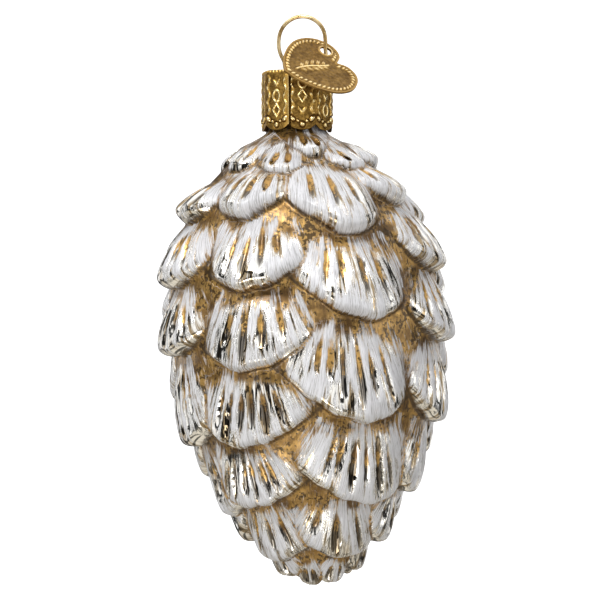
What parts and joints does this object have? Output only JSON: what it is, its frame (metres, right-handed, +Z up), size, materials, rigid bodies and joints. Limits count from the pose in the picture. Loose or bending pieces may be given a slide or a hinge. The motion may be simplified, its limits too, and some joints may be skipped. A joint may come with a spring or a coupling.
{
  "type": "glass pine cone ornament",
  "caption": "Hollow blown-glass pine cone ornament with puffed scales, a stamped metal cap, a spring-wire hanging loop and a heart-shaped tag that swings on the wire.",
  "frame": {"origin": "top of the inside of the wire hanging loop, where a hook carries the ornament", "axes": "+Z up along the hanging ornament, -Y towards the front that the tag leans over"},
  "size_m": [0.0595, 0.0591, 0.114],
  "materials": {
    "silvered_glass": "gloss",
    "stamped_cap": "satin",
    "spring_wire": "polished",
    "stamped_tag": "satin"
  },
  "bodies": {
    "ornament": {"glass_cone": "silvered_glass", "cap": "stamped_cap", "hook_wire": "spring_wire"},
    "tag": {"tag": "stamped_tag"}
  },
  "joints": [
    {"name": "tag_swing", "type": "hinge", "parent": "ornament", "child": "tag", "pos_m": [0.00466, -0.00116, -0.0068], "axis": [0, 0, 1], "range_deg": [0, 100]}
  ]
}
